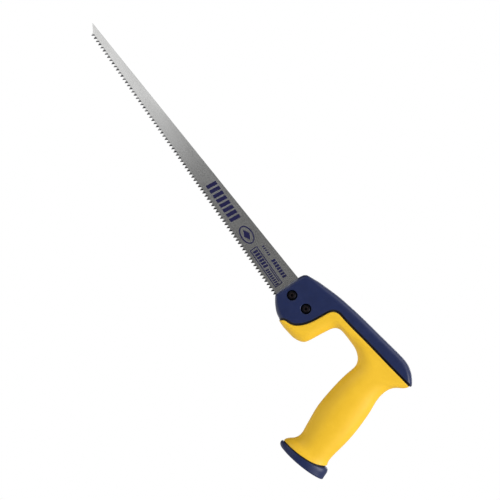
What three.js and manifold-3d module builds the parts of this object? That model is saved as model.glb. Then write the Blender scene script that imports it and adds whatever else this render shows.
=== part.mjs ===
// A drywall saw of the keyhole kind: a tapered toothed blade clamped by two screws between the two hard
// halves of a pistol-grip handle, with a soft grip moulded round the halves and a hard cap on its end.
// Millimetres. The design plane is XZ and the saw is mirrored about it: x runs back from the front of
// the handle, parallel to the tooth line, z is height above the tooth line, y is thickness.
// The exported group moves the origin to the middle of the grip. The tip points to -X, the teeth to -Z.
import * as THREE from "three";
import { mergeVertices } from "three/addons/utils/BufferGeometryUtils.js";
import Module from "manifold-3d";

// ---- Driving dimensions -------------------------------------------------------------------------

const GAP = 0.3; // clearance that the pieces are made with
const GRIP_CENTRE = { x: 127, z: -15 }; // where the middle of the hand is

const BLADE_THICKNESS = 1.2;
const FIRST_TOOTH = -301.8; // where the toothed edge starts
const TOOTH_PITCH = 3.64; // seven points per inch
const TEETH = 83;
const TOOTH_TIP = -1.95; // height of the tips
const GULLET = 1.1; // height of the bottoms between the teeth
const HEEL_HEIGHT = 26.4; // of the blade's back above the tooth line at the handle
const BACK_SLOPE = 0.0668; // the back edge falls this much per millimetre towards the tip
const NOSE_X = -309.2;
const POCKET_FRONT = -5; // the room for the blade is cut out from in front of the head

const CHEEK = 9; // half the thickness of the handle's hard head and spine
const EDGE_ROUND = 0.8; // rounding of the hard shell's outer edges
const SKIN = 3; // thickness of the soft grip over the hard core
const CORE_WALL = 2.6; // wall of the hollow core inside the grip
const NECK = 7; // half the thickness of the core where it passes under the seam
const NECK_REACH = 4; // how far the core runs on past the seam into the shell
const SEAM_ROUND = 0.9; // rounding of the soft grip along the seam
const NOSE_ROUND = 6; // how far its rounding reaches in from the fingers' side beside the seam

const BARREL_RADIUS = 3.1;
const BARREL_LENGTH = 9;
const SHANK_RADIUS = 2.2;
const SHANK_CHAMFER = 0.5;
const HEAD_RADIUS = 4.75;
const HEAD_HEIGHT = 2.75;
const CROWN_RADIUS = 1.95; // of the flat round the socket
const RIM_HEIGHT = 0.4; // of the straight edge of a screw's head
const FLANGE_HEIGHT = 2; // of a barrel nut's flange above its seat
const FLANGE_CHAMFER = 0.7;
const COUNTERBORE_DEPTH = 3;
const SOCKET_ACROSS_FLATS = 2.5;
const SOCKET_DEPTH = 1.6;
const SCREW_PLACES = { front: { x: 8.9, z: 12.4 }, rear: { x: 26.9, z: 15.7 } };

const PINS = [{ x: 52, z: 45.5 }, { x: 92, z: 52.5 }, { x: 126, z: 58 }]; // that line the halves up
const PIN_RADIUS = 2.2;
const PIN_LENGTH = 4;
const SPINE_POCKETS = [{ x: 66, z: 48.3 }, { x: 79, z: 50.6 }, { x: 105, z: 55.2 }, { x: 116, z: 57.2 }];
const SPINE_POCKET = { x: 9, y: 12, z: 6 };
const GRIP_RIBS = [24, 6, -12, -30, -48]; // heights of the ribs across the grip's hollow
const RIB = { x: 80, y: 40, z: 2 };
const RIB_X = 125;
const TENON = { x: 18, y: 12, z: 20 }; // the block on the cap that plugs into the grip
const TENON_AT = { x: 138.5, z: -60 };

const ROUND_SIDES = 24; // flat sides of a round bar or turned piece
const PIN_SIDES = 16;
const HEXAGON = 6;
const CURVE_STEPS = 2; // straight pieces between two points of a drawn curve, and in a plate's rounding
const ARC_STEPS = 4; // straight pieces in each quarter round of a section
const CAP_SIDES = 48;
const CAP_FULLNESS = 2.2; // exponent of the cap's plan: 2 is an ellipse, more is squarer
const SLIVER = 0.1; // the least width of flat left beside a section's rounded corner
const BEYOND = 1; // how far a cutting tool runs past the face that it opens
const SAME_POINT = 1e-4; // points closer than this are one

// ---- Solids -------------------------------------------------------------------------------------

const wasm = await Module();
wasm.setup();

// A closed geometry as a manifold-3d solid.
function solid(geometry) {
  const bare = geometry.clone();
  bare.deleteAttribute("normal");
  bare.deleteAttribute("uv");
  const merged = mergeVertices(bare, SAME_POINT);
  const mesh = new wasm.Mesh({
    numProp: 3,
    vertProperties: merged.attributes.position.array,
    triVerts: new Uint32Array(merged.index.array),
  });
  return new wasm.Manifold(mesh);
}

// A manifold-3d solid as a geometry with flat faces.
function geometryOf(shape) {
  const mesh = shape.getMesh();
  const geometry = new THREE.BufferGeometry();
  geometry.setAttribute("position", new THREE.BufferAttribute(mesh.vertProperties, 3));
  geometry.setIndex(new THREE.BufferAttribute(mesh.triVerts, 1));
  return geometry.toNonIndexed();
}

function unite(shapes) {
  return shapes.reduce((whole, shape) => whole.add(shape));
}

// A shape drawn in the XZ plane, extruded through the thickness from y = low to y = high.
function plate(shape, low, high, round = 0) {
  const geometry = new THREE.ExtrudeGeometry(shape, {
    depth: high - low - 2 * round,
    curveSegments: CURVE_STEPS,
    bevelEnabled: round > 0,
    bevelThickness: round,
    bevelSize: round,
    bevelOffset: -round,
    bevelSegments: CURVE_STEPS,
  });
  geometry.rotateX(Math.PI / 2);
  geometry.translate(0, high - round, 0);
  return solid(geometry);
}

// A round bar along Y at a place in the XZ plane, from y = low to y = high.
function bar(place, radius, low, high, sides = ROUND_SIDES) {
  const geometry = new THREE.CylinderGeometry(radius, radius, high - low, sides);
  geometry.translate(place.x, (low + high) / 2, place.z);
  return solid(geometry);
}

function box(centre, size) {
  const geometry = new THREE.BoxGeometry(size.x, size.y, size.z);
  geometry.translate(centre.x, centre.y ?? 0, centre.z);
  return solid(geometry);
}

// A lathe profile of [radius, height] points turned about the Y axis at a place in the XZ plane.
function turned(place, profile) {
  const points = profile.map(([radius, height]) => new THREE.Vector2(radius, height));
  const geometry = new THREE.LatheGeometry(points, ROUND_SIDES);
  geometry.translate(place.x, 0, place.z);
  return solid(geometry);
}

// ---- Lofts between two edges --------------------------------------------------------------------

// A closed tube through rings of points. Point j of each ring mirrors point -j in the design plane, and
// each end is closed by strips between such pairs.
function loft(rings) {
  const count = rings[0].length;
  const last = (rings.length - 1) * count;
  const positions = rings.flat().flatMap((p) => [p.x, p.y, p.z]);
  const triangles = [];
  for (let i = 0; i < last; i += count) {
    for (let j = 0; j < count; j++) {
      const a = i + j;
      const b = i + ((j + 1) % count);
      triangles.push([a, b, b + count], [a, b + count, a + count]);
    }
  }
  for (let j = 0; j < count / 2; j++) {
    const [a, b, c, d] = [j, j + 1, count - j - 1, (count - j) % count];
    triangles.push([d, c, b], [d, b, a]);
    triangles.push([last + a, last + b, last + c], [last + a, last + c, last + d]);
  }
  const faces = triangles.filter((corners) => new Set(corners).size === 3).flat();
  const geometry = new THREE.BufferGeometry();
  geometry.setAttribute("position", new THREE.Float32BufferAttribute(positions, 3));
  geometry.setIndex(faces);
  const shape = solid(geometry);
  if (shape.volume() > 0) return shape;
  geometry.setIndex(faces.toReversed());
  return solid(geometry);
}

// Half of a section's outline, as [distance across, y] from the inner edge to the outer edge. Each end
// is a wall with a quarter-round corner: inner and outer give the corner's reach [across, up].
function halfSection(width, half, inner, outer) {
  const points = [[0, 0]];
  for (let i = 0; i <= ARC_STEPS; i++) {
    const turn = (Math.PI / 2) * (i / ARC_STEPS);
    const across = inner[0] * (1 - Math.cos(turn));
    points.push([across, half - inner[1] + inner[1] * Math.sin(turn)]);
  }
  for (let i = ARC_STEPS; i >= 0; i--) {
    const turn = (Math.PI / 2) * (i / ARC_STEPS);
    const across = width - outer[0] * (1 - Math.cos(turn));
    points.push([across, half - outer[1] + outer[1] * Math.sin(turn)]);
  }
  points.push([width, 0]);
  return points;
}

// A ring round the line from inner to outer. bend(share) moves a point off that line.
function ring(inner, outer, half, innerRound, outerRound, bend) {
  const width = inner.distanceTo(outer);
  const corner = ([across, up]) => [Math.min(across, width / 2 - SLIVER), Math.min(up, half - SLIVER)];
  const upper = halfSection(width, half, corner(innerRound), corner(outerRound));
  const lower = upper.slice(1, -1).reverse();
  const place = ([across, y], side) => {
    const at = inner.clone().lerp(outer, across / width);
    at.add(bend(across / width));
    return new THREE.Vector3(at.x, side * y, at.y);
  };
  return [...upper.map((p) => place(p, 1)), ...lower.map((p) => place(p, -1))];
}

// ---- Outlines, as [x, z] ------------------------------------------------------------------------

const vectors = (points) => points.map(([x, z]) => new THREE.Vector2(x, z));

// The hard shell's free edge, from the seam's lower end forwards under the head, up its front and back
// along the spine to the tail.
const SHELL_UNDERSIDE = [[20.6, -10], [14, -8.7], [7, -5.4], [0.9, -1.2]];
const SHELL_FRONT = [[-0.2, 1.5], [-0.8, 10], [-0.9, 21], [-0.4, 30.5]];
const SHELL_BROW = [0, 34.2]; // the corner that the curve from the front into the top rounds off
const SHELL_TOP = [[1.9, 35.1], [12, 39.8], [26, 44.8], [42, 49.5], [62, 53.9], [90, 59.2], [117, 64.2]];
const SHELL_TAIL = [[124, 64.7], [133, 62.8], [139.5, 59.6], [143.2, 56.8], [144.2, 54.9], [142.8, 53.6]];
// The hard shell's edge along the seam with the soft grip, from the tail forwards and down behind the head.
const SHELL_SEAM = [
  [138, 53.4], [120, 50.9], [100, 47.8], [76, 43.9], [52, 39.8], [45.6, 37.6], [42.5, 33.5],
  [41.4, 27], [40.3, 17.5], [38.6, 9], [35.2, 1.6], [29.5, -3.2], [23.6, -5.9], [21.6, -8.4],
];

// The seam between the soft grip and the end cap, front to back.
const BUTT_SEAM = [
  [116.8, -72], [123, -70.4], [130.8, -68.2], [139.3, -65.2], [146.9, -61.8], [152, -58.6], [155.6, -55.8],
  [158.2, -52.8],
];

// Sections of the soft grip: from the point of the nose, up behind the head, back under the spine and
// down the grip. hand is on the edge that faces the fingers, back on the seam or the palm side.
// half is half the thickness, free is 0 where back lies on the seam and 1 where it is open to the palm.
const GRIP_SECTIONS = [
  { hand: [22.5, -10.9], back: [22.7, -9.7], half: 8.0, free: 0 },
  { hand: [27, -11.4], back: [26.2, -6.2], half: 8.6, free: 0 },
  { hand: [33.5, -11.1], back: [31.2, -4.0], half: 9.2, free: 0 },
  { hand: [40.5, -10.1], back: [35.5, -0.4], half: 9.3, free: 0 },
  { hand: [46.5, -7.9], back: [37.8, 3.6], half: 9.3, free: 0 },
  { hand: [51.4, -4.5], back: [39.2, 7.2], half: 9.3, free: 0 },
  { hand: [53.6, 1.5], back: [40.2, 11], half: 9.3, free: 0 },
  { hand: [54.9, 12], back: [41.0, 16], half: 9.3, free: 0 },
  { hand: [56.2, 21], back: [42.1, 24.5], half: 9.3, free: 0 },
  { hand: [58.3, 27.5], back: [43.1, 31.8], half: 9.3, free: 0 },
  { hand: [62.5, 31.1], back: [46.2, 36.7], half: 9.3, free: 0 },
  { hand: [70, 32.3], back: [58, 39.6], half: 9.3, free: 0 },
  { hand: [78, 32.5], back: [77, 42.8], half: 9.3, free: 0 },
  { hand: [85, 32.4], back: [94, 45.7], half: 9.4, free: 0 },
  { hand: [91, 30.7], back: [110, 48.2], half: 9.7, free: 0 },
  { hand: [95.6, 27.6], back: [126, 50.7], half: 10.1, free: 0 },
  { hand: [98.2, 23.8], back: [141.2, 52.4], half: 10.6, free: 0.1 },
  { hand: [98.9, 20], back: [139, 46], half: 11.3, free: 0.6 },
  { hand: [99.4, 14], back: [135.6, 38], half: 12.1, free: 1 },
  { hand: [100.4, 6.5], back: [134.8, 30], half: 12.9, free: 1 },
  { hand: [101.9, -2], back: [137, 20], half: 13.6, free: 1 },
  { hand: [104.6, -14], back: [143, 6.5], half: 14.3, free: 1 },
  { hand: [109.2, -29], back: [149, -11], half: 14.6, free: 1 },
  { hand: [116.3, -44.5], back: [153, -29.5], half: 14.4, free: 1 },
  { hand: [120.6, -53.3], back: [155.3, -42], half: 14.1, free: 1 },
  { hand: [121.3, -59.2], back: [156.6, -48.6], half: 14.1, free: 1 },
  { hand: [119.2, -65], back: [157.5, -51.4], half: 14.7, free: 1 },
  { hand: [117, -68.8], back: [158, -52.4], half: 15.3, free: 1 },
  { hand: [116.8, -72], back: [158.2, -52.9], half: 15.7, free: 1 },
];
const BEND_FROM = 22 / 28; // share of the way along the sections where they start to follow the butt seam
// The grip, its core and the core's hollow are lofted through stations that divide the sections evenly.
const GRIP_STATIONS = 40;
const CORE_FROM = 4;
const CORE_TO = 39;
const HOLLOW_FROM = 24;
const HOLLOW_TO = 38;

// Levels of the end cap, from the top of its neck down to its underside: the front and back ends, half
// the thickness, and how far the level has gone from the seam's curve (0) to the underside's (1).
const CAP_LEVELS = [
  { front: [118, -72.9], back: [158.4, -54.3], half: 14.2, low: 0 },
  { front: [117.9, -73.5], back: [158.9, -55], half: 14.2, low: 0 },
  { front: [117.3, -73.4], back: [159.8, -54.4], half: 15.2, low: 0 },
  { front: [116.6, -73.4], back: [161.6, -54.1], half: 15.9, low: 0.06 },
  { front: [116.4, -74.2], back: [164.1, -55.4], half: 16.2, low: 0.27 },
  { front: [116.9, -75.8], back: [166.1, -59.7], half: 16.4, low: 0.64 },
  { front: [117.6, -76.7], back: [167.1, -62.3], half: 16.5, low: 0.84 },
  { front: [118.5, -77.3], back: [167.4, -63.9], half: 16.3, low: 0.96 },
  { front: [119.9, -77.8], back: [166.2, -65.1], half: 15.4, low: 1 },
];
// The cap's underside, front to back.
const CAP_UNDERSIDE = [[119.4, -77.7], [129.9, -76], [141.7, -73.2], [153.5, -69.6], [166, -64.8]];

// The tang inside the head: along its lower edge, round its back end and forwards along its upper edge.
const TANG = {
  front: [0.6, GULLET],
  low: [22, 3.4],
  lowCorner: [34, 5],
  backLow: [34, 14],
  backHigh: [34, 22],
  highCorner: [34, 27],
  high: [28, 27],
  top: [3, 26.6],
};

// ---- The handle's curves ------------------------------------------------------------------------

const buttSeam = new THREE.SplineCurve(vectors(BUTT_SEAM));
const capUnderside = new THREE.SplineCurve(vectors(CAP_UNDERSIDE));

// How far a curve lies off the straight line between its ends, at a share of the way along.
function bow(curve, share) {
  const straight = curve.getPoint(0).lerp(curve.getPoint(1), share);
  return curve.getPoint(share).sub(straight);
}

// A smooth curve through one [x, z] point of each section.
function through(sections, point) {
  return new THREE.SplineCurve(vectors(sections.map(point)));
}

const grip = {
  hand: through(GRIP_SECTIONS, (s) => s.hand),
  back: through(GRIP_SECTIONS, (s) => s.back),
  half: through(GRIP_SECTIONS, (s, i) => [i, s.half]),
  free: through(GRIP_SECTIONS, (s, i) => [i, s.free]),
};

// How much the section at t follows the butt seam's bow.
function buttBend(t) {
  const amount = THREE.MathUtils.smoothstep(t, BEND_FROM, 1);
  return (share) => bow(buttSeam, share).multiplyScalar(amount);
}

// The grip's form moved inwards by inset on every free side. On the seam side it reaches over into the
// hard shell by reach instead. limit is the most that half the thickness may be there. The form runs from
// one station to another.
function gripForm({ inset = 0, reach = 0, limit = Infinity, from = 0, to = GRIP_STATIONS }) {
  const rings = [];
  for (let i = from; i <= to; i++) {
    const t = i / GRIP_STATIONS;
    const hand = grip.hand.getPoint(t);
    const back = grip.back.getPoint(t);
    const free = THREE.MathUtils.clamp(grip.free.getPoint(t).y, 0, 1);
    const across = back.clone().sub(hand).normalize();
    const inner = hand.clone().addScaledVector(across, inset);
    const outer = back.clone().addScaledVector(across, THREE.MathUtils.lerp(reach, -inset, free));
    const full = grip.half.getPoint(t).y - inset;
    const half = THREE.MathUtils.lerp(Math.min(full, limit), full, free);
    const oval = inner.distanceTo(outer) / 2;
    const freer = (edge, round) => THREE.MathUtils.lerp(edge, round, free);
    const innerRound = [freer(NOSE_ROUND, oval), half];
    const outerRound = [freer(SEAM_ROUND, oval), freer(SEAM_ROUND, half)];
    rings.push(ring(inner, outer, half, innerRound, outerRound, buttBend(t)));
  }
  return loft(rings);
}

function shellShape() {
  const shape = new THREE.Shape();
  shape.moveTo(...SHELL_UNDERSIDE[0]);
  shape.splineThru(vectors(SHELL_UNDERSIDE.slice(1)));
  shape.splineThru(vectors(SHELL_FRONT));
  shape.quadraticCurveTo(...SHELL_BROW, ...SHELL_TOP[0]);
  shape.splineThru(vectors(SHELL_TOP.slice(1)));
  shape.splineThru(vectors(SHELL_TAIL));
  shape.splineThru(vectors(SHELL_SEAM));
  shape.closePath();
  return shape;
}

// ---- The blade ----------------------------------------------------------------------------------

function bladeShape() {
  const shape = new THREE.Shape();
  shape.moveTo(NOSE_X, HEEL_HEIGHT + BACK_SLOPE * NOSE_X);
  for (let i = 0; i < TEETH; i++) {
    const start = FIRST_TOOTH + i * TOOTH_PITCH;
    shape.lineTo(start, GULLET);
    shape.lineTo(start + TOOTH_PITCH / 2, TOOTH_TIP);
  }
  shape.lineTo(FIRST_TOOTH + TEETH * TOOTH_PITCH, GULLET);
  traceTang(shape, 0);
  return shape;
}

// The tang's outline moved outwards by grow, from its lower front corner round to its upper front corner.
function traceTang(shape, grow) {
  const low = ([x, z]) => [x, z - grow];
  const back = ([x, z]) => [x + grow, z];
  const high = ([x, z]) => [x, z + grow];
  shape.lineTo(...low(TANG.front));
  shape.lineTo(...low(TANG.low));
  shape.quadraticCurveTo(...low(back(TANG.lowCorner)), ...back(TANG.backLow));
  shape.lineTo(...back(TANG.backHigh));
  shape.quadraticCurveTo(...high(back(TANG.highCorner)), ...high(TANG.high));
  shape.lineTo(...high(TANG.top));
}

function blade() {
  const half = BLADE_THICKNESS / 2;
  const holes = Object.values(SCREW_PLACES).map((at) => bar(at, BARREL_RADIUS + GAP, -CHEEK, CHEEK));
  return plate(bladeShape(), -half, half).subtract(unite(holes));
}

// The room that the halves leave for the tang and for the last tooth in front of it.
function bladePocket() {
  const half = BLADE_THICKNESS / 2 + GAP;
  const shape = new THREE.Shape();
  shape.moveTo(POCKET_FRONT, TOOTH_TIP - GAP);
  shape.lineTo(TANG.front[0], TOOTH_TIP - GAP);
  traceTang(shape, GAP);
  shape.lineTo(POCKET_FRONT, HEEL_HEIGHT + GAP);
  return plate(shape, -half, half);
}

// ---- Fasteners ----------------------------------------------------------------------------------

const headSeat = CHEEK - COUNTERBORE_DEPTH; // y of the face that a head rests on, on each side
const barrelEnd = headSeat - BARREL_LENGTH; // the barrel nut stops short of the screw's head

// A button-head socket screw that goes in from the near side, -Y.
function screw(at) {
  const crown = -headSeat - HEAD_HEIGHT;
  const dome = [];
  for (let i = 0; i <= ARC_STEPS; i++) {
    const turn = (Math.PI / 2) * (i / ARC_STEPS);
    const out = (HEAD_RADIUS - CROWN_RADIUS) * Math.sin(turn);
    dome.push([CROWN_RADIUS + out, crown + (HEAD_HEIGHT - RIM_HEIGHT) * (1 - Math.cos(turn))]);
  }
  const end = headSeat - SHANK_CHAMFER;
  const body = turned(at, [
    [0, crown],
    ...dome,
    [HEAD_RADIUS, -headSeat - GAP],
    [SHANK_RADIUS, -headSeat - GAP],
    [SHANK_RADIUS, end - SHANK_CHAMFER],
    [SHANK_RADIUS - SHANK_CHAMFER, end],
    [0, end],
  ]);
  const socket = bar(at, SOCKET_ACROSS_FLATS / Math.sqrt(3), crown - BEYOND, crown + SOCKET_DEPTH, HEXAGON);
  return body.subtract(socket);
}

// A flanged barrel nut that goes in from the far side, +Y, through the blade. Its bore is open at both ends.
function barrelNut(at) {
  const crown = headSeat + FLANGE_HEIGHT;
  const bore = SHANK_RADIUS + GAP;
  return turned(at, [
    [bore, barrelEnd],
    [BARREL_RADIUS, barrelEnd],
    [BARREL_RADIUS, headSeat + GAP],
    [HEAD_RADIUS, headSeat + GAP],
    [HEAD_RADIUS, crown - FLANGE_CHAMFER],
    [HEAD_RADIUS - FLANGE_CHAMFER, crown],
    [bore, crown],
    [bore, barrelEnd],
  ]);
}

// The holes through both halves for one screw and its nut.
function screwHole(at) {
  return unite([
    bar(at, BARREL_RADIUS + GAP, -headSeat - BEYOND, headSeat + BEYOND),
    bar(at, HEAD_RADIUS + GAP, -CHEEK - BEYOND, -headSeat),
    bar(at, HEAD_RADIUS + GAP, headSeat, CHEEK + BEYOND),
  ]);
}

// ---- The two hard halves ------------------------------------------------------------------------

// Both halves as one form: the shell, and the core that runs on inside the soft grip.
function coreForm() {
  const shell = plate(shellShape(), -CHEEK, CHEEK, EDGE_ROUND);
  const core = gripForm({ inset: SKIN, reach: NECK_REACH, limit: NECK, from: CORE_FROM, to: CORE_TO });
  const hollow = gripForm({
    inset: SKIN + CORE_WALL,
    reach: -CORE_WALL,
    limit: NECK - CORE_WALL,
    from: HOLLOW_FROM,
    to: HOLLOW_TO,
  });
  const ribs = GRIP_RIBS.map((z) => box({ x: RIB_X, z }, RIB));
  const pockets = SPINE_POCKETS.map((at) => box(at, SPINE_POCKET));
  const cuts = [bladePocket(), ...Object.values(SCREW_PLACES).map(screwHole), ...pockets];
  return unite([shell, core]).subtract(hollow.subtract(unite(ribs))).subtract(unite(cuts));
}

function halves() {
  const form = coreForm().subtract(capTenon(GAP));
  const [far] = form.splitByPlane([0, 1, 0], GAP / 2);
  const [near] = form.splitByPlane([0, -1, 0], GAP / 2);
  const pins = PINS.map((at) => bar(at, PIN_RADIUS, -BEYOND, PIN_LENGTH, PIN_SIDES));
  const sockets = PINS.map((at) => bar(at, PIN_RADIUS + GAP, -BEYOND, PIN_LENGTH + GAP, PIN_SIDES));
  return { near: unite([near, ...pins]), far: far.subtract(unite(sockets)) };
}

// ---- The soft grip and the end cap --------------------------------------------------------------

function softGrip() {
  const outside = gripForm({});
  const inside = gripForm({
    inset: SKIN - GAP,
    reach: NECK_REACH + BEYOND,
    limit: NECK + GAP,
    from: CORE_FROM - 1,
  });
  return outside.subtract(inside).subtract(capTenon(GAP));
}

// The block that plugs into the grip's end, grown by grow on every side for the room it needs.
function capTenon(grow) {
  return box(TENON_AT, { x: TENON.x + 2 * grow, y: TENON.y + 2 * grow, z: TENON.z + 2 * grow });
}

function capForm() {
  const fuller = (value) => Math.sign(value) * Math.abs(value) ** (2 / CAP_FULLNESS);
  const rings = CAP_LEVELS.map(({ front, back, half, low }) => {
    const [from, to] = vectors([front, back]);
    const points = [];
    for (let i = 0; i < CAP_SIDES; i++) {
      const angle = (2 * Math.PI * i) / CAP_SIDES;
      const share = (1 - fuller(Math.cos(angle))) / 2;
      const bend = bow(buttSeam, share).lerp(bow(capUnderside, share), low);
      const at = from.clone().lerp(to, share).add(bend);
      points.push(new THREE.Vector3(at.x, half * fuller(Math.sin(angle)), at.y));
    }
    return points;
  });
  return unite([loft(rings), capTenon(0)]);
}

// ---- Assembly -----------------------------------------------------------------------------------

const MATERIALS = {
  steel: { color: 0x9a9a94, roughness: 0.38, metalness: 1 },
  blackened: { color: 0x17171a, roughness: 0.42, metalness: 0.8 },
  hardBlue: { color: 0x242e58, roughness: 0.45, metalness: 0 },
  softYellow: { color: 0xf0b81e, roughness: 0.6, metalness: 0 },
};

function piece(name, material, shape) {
  const made = new THREE.Mesh(geometryOf(shape), new THREE.MeshStandardMaterial(MATERIALS[material]));
  made.name = name;
  return made;
}

const core = halves();
const saw = new THREE.Group();
saw.add(piece("blade", "steel", blade()));
saw.add(piece("handle_half_near", "hardBlue", core.near));
saw.add(piece("handle_half_far", "hardBlue", core.far));
saw.add(piece("soft_grip", "softYellow", softGrip()));
saw.add(piece("end_cap", "hardBlue", capForm()));
for (const [place, at] of Object.entries(SCREW_PLACES)) {
  saw.add(piece(`blade_screw_${place}`, "blackened", screw(at)));
  saw.add(piece(`barrel_nut_${place}`, "blackened", barrelNut(at)));
}
saw.position.set(-GRIP_CENTRE.x, 0, -GRIP_CENTRE.z);

export default saw;
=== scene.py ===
"""A drywall saw: a toothed steel blade in a navy and yellow pistol-grip handle.

Outlines are in millimetres in the saw's design plane: x runs back from the front of the handle, along the
tooth line, and z is height above that line. y is the saw's thickness, 0 in the middle, with the screw
heads on the -y side. make() moves each finished mesh into the row frame, in metres.
"""

import math

import bmesh
import bpy
import numpy as np
from mathutils import Matrix, Vector
from mathutils.geometry import delaunay_2d_cdt

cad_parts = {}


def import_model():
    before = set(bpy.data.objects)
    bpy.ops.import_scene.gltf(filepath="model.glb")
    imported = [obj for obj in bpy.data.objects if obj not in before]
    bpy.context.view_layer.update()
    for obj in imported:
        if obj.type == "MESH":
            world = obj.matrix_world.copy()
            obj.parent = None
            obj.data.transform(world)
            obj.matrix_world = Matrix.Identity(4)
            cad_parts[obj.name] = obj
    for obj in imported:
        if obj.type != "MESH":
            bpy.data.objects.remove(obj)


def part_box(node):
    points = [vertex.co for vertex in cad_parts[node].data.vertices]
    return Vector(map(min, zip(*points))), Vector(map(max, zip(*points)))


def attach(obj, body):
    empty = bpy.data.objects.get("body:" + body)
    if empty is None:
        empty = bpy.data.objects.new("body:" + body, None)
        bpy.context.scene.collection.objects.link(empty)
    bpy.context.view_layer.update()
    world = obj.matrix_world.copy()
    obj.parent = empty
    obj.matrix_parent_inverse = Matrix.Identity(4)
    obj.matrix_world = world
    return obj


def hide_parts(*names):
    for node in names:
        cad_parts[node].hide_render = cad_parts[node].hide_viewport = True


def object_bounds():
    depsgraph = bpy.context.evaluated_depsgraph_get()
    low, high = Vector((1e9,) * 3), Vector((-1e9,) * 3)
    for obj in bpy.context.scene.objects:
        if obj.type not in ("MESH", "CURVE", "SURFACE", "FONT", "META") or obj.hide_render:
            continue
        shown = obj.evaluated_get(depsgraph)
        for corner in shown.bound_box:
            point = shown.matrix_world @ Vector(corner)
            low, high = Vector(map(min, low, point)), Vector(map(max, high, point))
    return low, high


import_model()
cad_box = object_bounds()

MM = 0.001
WELD = 1e-6  # metres within which two vertices of a mesh become one
BLADE_WELD = 1e-7  # the same on the blade, whose teeth are finer
SHARP_ANGLE = math.radians(35)  # edges sharper than this aren't shaded smooth
LINE_SAMPLES = 2400  # points along each outline's curve
ELLIPSE = 2  # exponent of an elliptical rounding
FULLNESS = 2.2  # exponent of the handle's fuller, squarer roundings
TURNED_SIDES = 64

# ---- Sizes of the handle -------------------------------------------------------------------------------

GROOVE = 2.1  # width of the shadow groove between the hard and the soft parts
GROOVE_FLOOR = 6.0  # half the thickness at the bottom of the groove, whose floor is painted black as the groove's shade
GROOVE_STEP = 0.05  # the least depth of the groove
FLOOR_REACH = 1.0  # how far the groove's floor runs on under the soft grip
LIP = 0.45  # rounding of the hard halves' edges along the groove
SOFT_LIP = (1.3, 1.1)  # how far in, and how deep, the soft grip rounds off along the groove
PARTING = 0.12  # half the line that shows between the handle's two hard halves
PARTING_DEPTH = 0.5
PARTING_SHARE = 0.4  # the most of the shell's width that the line goes in
CHEEK = 9.0  # half the thickness of the handle's head
TAIL_CHEEK = 10.5  # and of its tail
CHEEK_SPREAD = (78, 135)  # along x: where the head's thickness starts to grow into the tail's, and stops
SHELL_REACH = (1.9, 5.6)  # how far in the shell's rounding reaches, at the head's front and on the spine
REACH_SPREAD = (-2, 30)  # along x: where the first reach starts to grow into the second, and stops
EDGE_SHARE = 0.93  # the shell is crowned: it has this share of its thickness near its edge
CROWN_REACH = 22  # and all of it this far in
REACH_LIMIT = 0.5  # the most of the grip's width that its rounding reaches in
SEAM_REACH = 0.35  # and how much more of it beside the seam
WALL_HEIGHTS = (0.97, 0.6)  # points on the grip's wall under the groove, as shares of its thickness there
BUTT_LIP = 0.25  # rounding of the grip's lower edge over the cap
BUTT_INSET = 1.6  # how far that edge moves in, in lips
BUTT_DOWN = (0.42, 0, -0.91)  # the way out of the grip's lower end
CAP_HOLLOW = 0.8  # the cap's underside rises this much to its middle
UNDERSIDE_SIZES = (0.97, 0.9, 0.75, 0.5, 0.25, 0.08)  # of the rings that close it

# ---- Sizes of the fasteners ----------------------------------------------------------------------------

SCREWS = {"front": (8.9, 12.4), "rear": (26.9, 15.7)}  # the screws' axes, in the design plane
SCREW_SIDES = 72
DOME_STEPS = 10
SEAT = CHEEK - 3  # where the screw heads and the nuts' flanges rest
COUNTERBORE = 5.0
MOUTH_ROUNDING = 0.75  # of the counterbore's edge
MOUTH_TURN = 1.5  # how many radians of a turn that rounding is
MOUTH_STEPS = 8
SHANK_HOLE = 2.6
CUTTER_ENDS = (SEAT - 5, CHEEK + 3)  # how far in and out the mesh that cuts a counterbore runs
CUTTER_FLARE = 0.8  # how much wider it gets towards its outer end
HEAD_RADIUS = 4.75
SHANK_RADIUS = 2.4
# Radius and height over the seat. The socket's radii are those of its flats.
SOCKET_PROFILE = [(0.35, 1.05), (1.25, 1.15), (1.25, 2.6), (1.4, 2.75)]
DOME_MIDDLE = (1.95, 0.4)  # where the screw head's elliptical dome is turned from
DOME_REACH = (2.75, 2.35)
SHANK_PROFILE = [(HEAD_RADIUS, 0.1), (SHANK_RADIUS, 0.05), (SHANK_RADIUS, -10)]
NUT_PROFILE = [
    (2.5, -2), (2.5, 1.65), (2.85, 2), (3.9, 2), (4.5, 1.65), (HEAD_RADIUS, 1.2), (HEAD_RADIUS, 0.1),
    (3.1, 0.05), (3.1, -5.2),
]

# ---- Sizes of the blade --------------------------------------------------------------------------------

BLADE_HALF = 0.55
NOSE_X = -309.2
FIRST_TOOTH = -301.8  # where the toothed edge starts
TEETH = 83
TOOTH_PITCH = 3.64
TOOTH_TIP = -1.95
GULLET = 1.1
SET = 0.3  # the teeth lean this far to each side in turn
TIP_HALF = 0.12  # half the thickness left at a tooth's tip
BEVELS = (2.0, 1.4)  # width of the hardened bevel on a tooth's ground side and on its flat side
BEVEL_END = 0.72  # share of the tooth's height where the bevel meets its other flank
HEEL_HEIGHT = 26.7  # of the blade's back over x = 0
BACK_SLOPE = 0.0675
BACK_CHAMFER = 0.12
CREST_SHARE = 0.55  # of the blade's thickness, left between the chamfers of its back
BLADE_END = 20  # the blade's end inside the handle
END_LIFT = 3  # how far over the gullets the end's lower corner is
NEAR = 1e-5  # millimetres within which two points of the blade's side are one
SIDE, PRINT, BEVEL = 0, 1, 2  # the blade's materials, in order

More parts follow.
